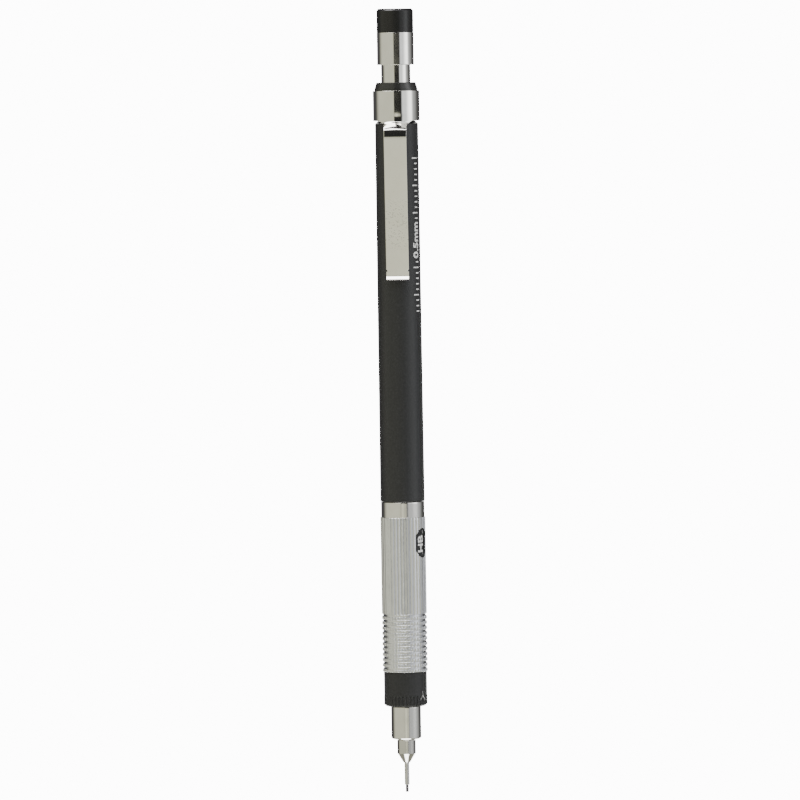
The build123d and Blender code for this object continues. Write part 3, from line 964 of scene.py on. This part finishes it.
def make_clip():
    """Ring and arm as one sheet of metal, bent at the root and flared at the lip."""
    bm = bmesh.new()
    add_clip_arm(bm, add_clip_ring(bm))
    mesh = mesh_from(bm, "pocket_clip", SHEET_DEGREES)
    nodes = ["clip_ring", "clip_arm"]
    clip = finish_piece("pocket_clip", mesh, clip_plate, nodes=nodes)

    thicken = clip.modifiers.new("sheet", "SOLIDIFY")
    thicken.thickness = CLIP_SHEET * MM
    thicken.offset = 0
    thicken.use_even_offset = True
    rims = clip.modifiers.new("rims", "BEVEL")
    rims.width = CLIP_RIM * MM
    rims.segments = 3
    rims.limit_method = "ANGLE"
    rims.angle_limit = math.radians(RIM_DEGREES)
    with_modifiers(clip, CLIP_DEGREES)
    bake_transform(clip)


# ============================================================================= push end
def make_ferrule():
    """A tube for the eraser, on a narrow foot that stands in the lead tube."""
    bottom = low("ferrule")
    top = high("ferrule")
    points = outline(
        (FOOT_BORE, bottom),
        (FOOT_RADIUS, bottom),
        (FOOT_RADIUS, ERASER_FLOOR),
        (FERRULE_RADIUS, ERASER_FLOOR),
        (FERRULE_RADIUS, top, 0.08),
        (ERASER_RADIUS, top, 0.05),
        (ERASER_RADIUS, ERASER_FLOOR + 1),
        (FOOT_BORE, ERASER_FLOOR + 1),
    )
    mesh = turned("eraser_tube", supported(points))
    finish_piece("eraser_tube", mesh, clip_plate, "push_rod", ["ferrule"])


def make_eraser():
    """A rounded plug with a blind hole for the clean-out pin."""
    bottom = low("eraser")
    top = high("eraser")
    points = outline(
        (PIN_RADIUS, bottom),
        (ERASER_RADIUS, bottom, 0.15),
        (ERASER_RADIUS, top, 0.45),
        (0, top),
        (0, bottom + PIN_HOLE),
        (PIN_RADIUS, bottom + PIN_HOLE),
    )
    mesh = turned("white_eraser", supported(points), 96)
    finish_piece("white_eraser", mesh, white_rubber, "push_rod", ["eraser"])


def make_push_cap():
    """The bright tube of the cap."""
    points = outline(
        (CAP_BORE, CAP, 0.03),
        (CAP_RADIUS, CAP, 0.03),
        (CAP_RADIUS, CAP_TOP, 0.03),
        (CAP_BORE, CAP_TOP),
    )
    mesh = turned("bright_cap", supported(points))
    finish_piece("bright_cap", mesh, plate, "cap", ["push_cap"])


def make_cap_top():
    """The bevelled end of the cap and the plug that holds it in the cap."""
    plug = low("cap_top")
    points = outline(
        (0, plug),
        (CAP_BORE, plug),
        (CAP_BORE, CAP_TOP),
        (CAP_END_RADIUS, CAP_TOP, 0.06),
        (CAP_END_RADIUS, END - 0.42, 0.10),
        (CAP_END_FLAT_RADIUS, END, 0.10),
        (0, END),
    )
    mesh = turned("black_cap_end", supported(points))
    finish_piece("black_cap_end", mesh, black, "cap", ["cap_top"])


# =============================================================================== prints
def wrapped(bm, angle, radius_at, height):
    """Wraps a flat drawing (x along the pencil, y round it, z outwards) on to its side.

    radius_at(height) is the surface's radius.
    """
    lowest = min(vert.co.y for vert in bm.verts)
    highest = max(vert.co.y for vert in bm.verts)
    cuts = math.ceil((highest - lowest) / PRINT_STRIP)
    for cut in range(1, cuts):
        place = (0, lowest + cut * PRINT_STRIP, 0)
        everything = bm.verts[:] + bm.edges[:] + bm.faces[:]
        bmesh.ops.bisect_plane(bm, geom=everything, plane_co=place, plane_no=(0, 1, 0))
    for vert in bm.verts:
        radius = radius_at(height + vert.co.x)
        turn = angle - vert.co.y / radius
        vert.co = Vector(on_circle(turn, radius + vert.co.z, height + vert.co.x))


def lettering(text, tall, long):
    """A flat bmesh of raised letters, centred, tall by long."""
    curve = bpy.data.curves.new("lettering", "FONT")
    curve.body = text
    curve.offset = 0.028
    curve.extrude = 0.01
    curve.resolution_u = 4
    holder = bpy.data.objects.new("lettering", curve)
    bpy.context.collection.objects.link(holder)
    evaluated = holder.evaluated_get(bpy.context.evaluated_depsgraph_get())
    flat = bpy.data.meshes.new_from_object(evaluated)
    bpy.data.objects.remove(holder)
    bpy.data.curves.remove(curve)
    bm = bmesh.new()
    bm.from_mesh(flat)
    bpy.data.meshes.remove(flat)
    bmesh.ops.remove_doubles(bm, verts=bm.verts, dist=1e-4)
    low_corner = Vector([min(vert.co[axis] for vert in bm.verts) for axis in range(3)])
    high_corner = Vector([max(vert.co[axis] for vert in bm.verts) for axis in range(3)])
    middle = (low_corner + high_corner) / 2
    size = high_corner - low_corner
    bmesh.ops.translate(bm, vec=-middle, verts=bm.verts)
    scale = (long / size.x, tall / size.y, 2 * PRINT_THICKNESS / size.z)
    bmesh.ops.scale(bm, vec=scale, verts=bm.verts)
    return bm


def add_bar(bm, x, y, long, wide, turn=0.0):
    """Adds one raised bar, centred at x, y, to a flat drawing."""
    place = Matrix.Translation((x, y, 0)) @ Matrix.Rotation(turn, 4, "Z")
    size = Matrix.Diagonal((long, wide, 2 * PRINT_THICKNESS, 1))
    bmesh.ops.create_cube(bm, size=1, matrix=place @ size)


def make_print(name, bm, body, angle, radius_at, height):
    """A finished print in white ink."""
    wrapped(bm, angle, radius_at, height)
    finish_piece(name, mesh_from(bm, name), white_ink, body)


def make_grade_marks():
    """The lead grades round the dial's sleeve; one at a time shows in the grip's window."""
    for number, grade in enumerate(GRADES):
        angle = WINDOW_ANGLE + 2 * math.pi * number / len(GRADES)
        bm = lettering(grade, GRADE_TALL, GRADE_LONG * len(grade))
        name = f"grade_mark_{grade}"
        make_print(name, bm, "dial", angle, lambda height: SLEEVE_RADIUS, WINDOW - 0.2)


def make_index_mark():
    """A small arrow on the dial's rim that points up to the grip."""
    bm = bmesh.new()
    add_bar(bm, 0.1, 0, 1.3, INDEX_LINE)
    for side in (1, -1):
        add_bar(bm, -0.45, side * 0.4, 1.1, INDEX_LINE, -side * math.radians(42))
    make_print("index_mark", bm, "dial", INDEX_ANGLE, lambda height: RIB_RADIUS, INDEX_MARK)


def make_barrel_prints():
    """The lead size and plain graduation lines, printed along the barrel's side."""
    bm = lettering("0.5mm", SIZE_TALL, SIZE_LONG)
    make_print("size_print", bm, "holder", PRINT_ANGLE, barrel_radius, SIZE_PRINT)

    bm = bmesh.new()
    for tick in range(-13, 16):
        if abs(tick) < 4:  # the lead size stands here
            continue
        tall = LONG_TICK if tick % 5 == 0 else SHORT_TICK
        add_bar(bm, tick, (tall - LONG_TICK) / 2, TICK_WIDE, tall)
    make_print("scale_print", bm, "holder", PRINT_ANGLE, barrel_radius, SIZE_PRINT)


# ========================================================================= hidden pieces
def paint_hidden_pieces():
    """What is hidden inside keeps its plain solids, each in its real material."""
    looks = {
        "front_tube": brass,
        "chuck": brass,
        "chuck_ring": brass,
        "chuck_housing": pale_plastic,
        "chuck_coupler": pale_plastic,
        "lead_tube": pale_plastic,
        "chuck_spring": steel,
        "clean_out_pin": steel,
        "lead_retainer": dark_rubber,
        "spare_lead_1": graphite,
        "spare_lead_2": graphite,
        "spare_lead_3": graphite,
    }
    for node, material in looks.items():
        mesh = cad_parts[node].data
        mesh.materials.clear()
        mesh.materials.append(material)


# ========================================================================= stage and view
FLOOR_HEIGHT = -130 * MM
FLOOR_RADIUS = 360 * MM
FLOOR_SOLID = 180 * MM  # the floor is solid up to here from its middle
FLOOR_GONE = 340 * MM  # and has faded away here
PAPER_GRAIN = 900


def make_floor():
    """A plain pale floor below the pencil that fades into the white surroundings."""
    bm = bmesh.new()
    bmesh.ops.create_circle(bm, cap_ends=True, segments=96, radius=FLOOR_RADIUS)
    mesh = bpy.data.meshes.new("floor")
    bm.to_mesh(mesh)
    bm.free()
    floor = bpy.data.objects.new("floor", mesh)
    floor.location.z = FLOOR_HEIGHT
    floor.visible_glossy = False
    bpy.context.collection.objects.link(floor)
    material, nodes, links, shader = new_material("floor_paper")
    shader.inputs["Roughness"].default_value = 0.8
    place = nodes.new("ShaderNodeTexCoord")
    length = nodes.new("ShaderNodeVectorMath")
    length.operation = "LENGTH"
    links.new(place.outputs["Object"], length.inputs[0])
    grain = noise(nodes, links, place.outputs["Object"], PAPER_GRAIN)
    paper = mixed(nodes, links, grain, (0.86, 0.86, 0.85), (0.90, 0.90, 0.89))
    links.new(paper, shader.inputs["Base Color"])
    fade = ranged(nodes, links, length.outputs["Value"], FLOOR_SOLID, FLOOR_GONE, 1, 0)
    links.new(fade, shader.inputs["Alpha"])
    mesh.materials.append(material)


NEUTRAL = (1.0, 1.0, 1.0)
WARM = (1.0, 0.995, 0.80)
COOL = (0.96, 0.98, 1.0)
ALL_ROUND = (-181, -180, 180, 181)
# The studio's soft boxes. Round the pencil and then up from the horizon, four angles say
# where a box starts, is full, starts to fade and is gone. Brightness and tint follow.
SOFT_BOXES = [
    # walls at both sides, with a dark gap before the clip
    ((-119, -85, -11, -6), (-35, -25, 44, 56), 0.86, WARM),
    ((25, 36, 86, 134), (-35, -25, 44, 56), 0.68, COOL),
    ((28, 36, 84, 100), (-3, -1, 44, 56), 0.60, COOL),
    ((50, 75, 80, 92), (-3, -1.5, 44, 56), 2.1, NEUTRAL),
    ((50, 70, 80, 92), (-35, -25, -3, -1.5), 0.25, NEUTRAL),
    # low fills close the gap below the horizon
    ((-10, -6, 20, 26), (-35, -28, -3.6, -1.2), 0.90, WARM),
    ((-4, 0, 6, 12), (-35, -28, -3.6, -1.2), 0.35, WARM),
    ((18, 24, 30, 36), (-35, -28, -6.0, -4.5), 0.5, COOL),
    # dim sides and a pale strip behind
    ((-172, -160, -110, -90), (-60, -50, 50, 60), 0.06, NEUTRAL),
    ((95, 120, 160, 172), (-60, -50, 50, 60), 0.06, NEUTRAL),
    ((170, 174, 180, 181), (-8, -4, 40, 60), 0.8, NEUTRAL),
    ((-181, -180, -174, -170), (-8, -4, 40, 60), 0.8, NEUTRAL),
    # overhead: bright on the left, pale on the right and a narrow strip in front
    ((-168, -160, -16, -10), (50, 58, 75, 80), 10.0, NEUTRAL),
    ((38, 46, 150, 160), (50, 58, 90, 91), 1.5, NEUTRAL),
    ((-14, -10, 38, 46), (60, 63, 67, 70), 10.0, NEUTRAL),
    # pale ground, a bright card low in front and another low behind
    (ALL_ROUND, (-91, -90, -32, -24), 0.40, WARM),
    ((-56, -44, 44, 56), (-84, -78, -50, -44), 11.0, NEUTRAL),
    ((140, 152, 180, 181), (-42, -36, -12, -8), 10.0, NEUTRAL),
    ((-181, -180, -152, -140), (-42, -36, -12, -8), 10.0, NEUTRAL),
]
DIM = 0.028  # what is left where no box shines
BACKDROP = 16  # brightness of the white behind the pencil


def make_studio():
    """White surroundings for the camera, and soft boxes for light and reflections."""
    world = bpy.data.worlds.new("studio")
    bpy.context.scene.world = world
    world.use_nodes = True
    nodes = world.node_tree.nodes
    links = world.node_tree.links
    nodes.clear()
    where = nodes.new("ShaderNodeTexCoord")
    axes = nodes.new("ShaderNodeSeparateXYZ")
    links.new(where.outputs["Generated"], axes.inputs[0])
    toward_clip = calculated(nodes, links, "MULTIPLY", axes.outputs["Y"], -1)
    turn = calculated(nodes, links, "ARCTAN2", axes.outputs["X"], toward_clip)
    turn = calculated(nodes, links, "MULTIPLY", turn, math.degrees(1))
    rise = calculated(nodes, links, "ARCSINE", axes.outputs["Z"])
    rise = calculated(nodes, links, "MULTIPLY", rise, math.degrees(1))

    light = nodes.new("ShaderNodeRGB").outputs[0]
    light.default_value = (DIM, DIM, DIM, 1)
    for across, up, brightness, tint in SOFT_BOXES:
        side = between(nodes, links, turn, across)
        share = calculated(nodes, links, "MULTIPLY", side, between(nodes, links, rise, up))
        glow = nodes.new("ShaderNodeVectorMath")
        glow.operation = "MULTIPLY_ADD"
        links.new(share, glow.inputs[0])
        glow.inputs[1].default_value = [brightness * channel for channel in tint]
        links.new(light, glow.inputs[2])
        light = glow.outputs[0]

    studio = nodes.new("ShaderNodeBackground")
    links.new(light, studio.inputs["Color"])
    white = nodes.new("ShaderNodeBackground")
    white.inputs["Strength"].default_value = BACKDROP
    rays = nodes.new("ShaderNodeLightPath")
    seen = nodes.new("ShaderNodeMixShader")
    links.new(rays.outputs["Is Camera Ray"], seen.inputs["Fac"])
    links.new(studio.outputs[0], seen.inputs[1])
    links.new(white.outputs[0], seen.inputs[2])
    output = nodes.new("ShaderNodeOutputWorld")
    links.new(seen.outputs[0], output.inputs["Surface"])


CAMERA_DISTANCE = 1260 * MM
CAMERA_AZIMUTH = math.radians(3.0)
CAMERA_ELEVATION = math.radians(3.0)
CAMERA_ROLL = math.radians(0.93)
VIEW_SIZE = 146.8 * MM  # what the camera sees at the pencil, from edge to edge
AIM_HEIGHT = 35.67 * MM
AIM_SIDE = -0.18 * MM


def make_camera():
    """A far camera, almost level and straight at the clip."""
    around = CAMERA_AZIMUTH
    rise = CAMERA_ELEVATION
    back = Vector(
        (math.sin(around) * math.cos(rise), -math.cos(around) * math.cos(rise), math.sin(rise))
    )
    right = Vector((math.cos(around), math.sin(around), 0))
    up = back.cross(right)
    rolled_right = right * math.cos(CAMERA_ROLL) - up * math.sin(CAMERA_ROLL)
    rolled_up = up * math.cos(CAMERA_ROLL) + right * math.sin(CAMERA_ROLL)
    camera = bpy.data.objects.new("camera", bpy.data.cameras.new("camera"))
    camera.data.angle = 2 * math.atan(VIEW_SIZE / 2 / CAMERA_DISTANCE)
    camera.data.clip_start = 0.01
    place = Matrix((rolled_right, rolled_up, back)).transposed().to_4x4()
    aim = Vector((0, 0, AIM_HEIGHT)) + rolled_right * AIM_SIDE
    place.translation = aim + back * CAMERA_DISTANCE
    camera.matrix_world = place
    bpy.context.collection.objects.link(camera)
    bpy.context.scene.camera = camera


make_lead()
make_guide_pipe()
make_nose()
make_dial()
make_grip()
make_joint_ring()
make_barrel()
make_top_bush()
make_clip()
make_ferrule()
make_eraser()
make_push_cap()
make_cap_top()
make_grade_marks()
make_index_mark()
make_barrel_prints()
paint_hidden_pieces()
make_floor()
make_studio()
make_camera()
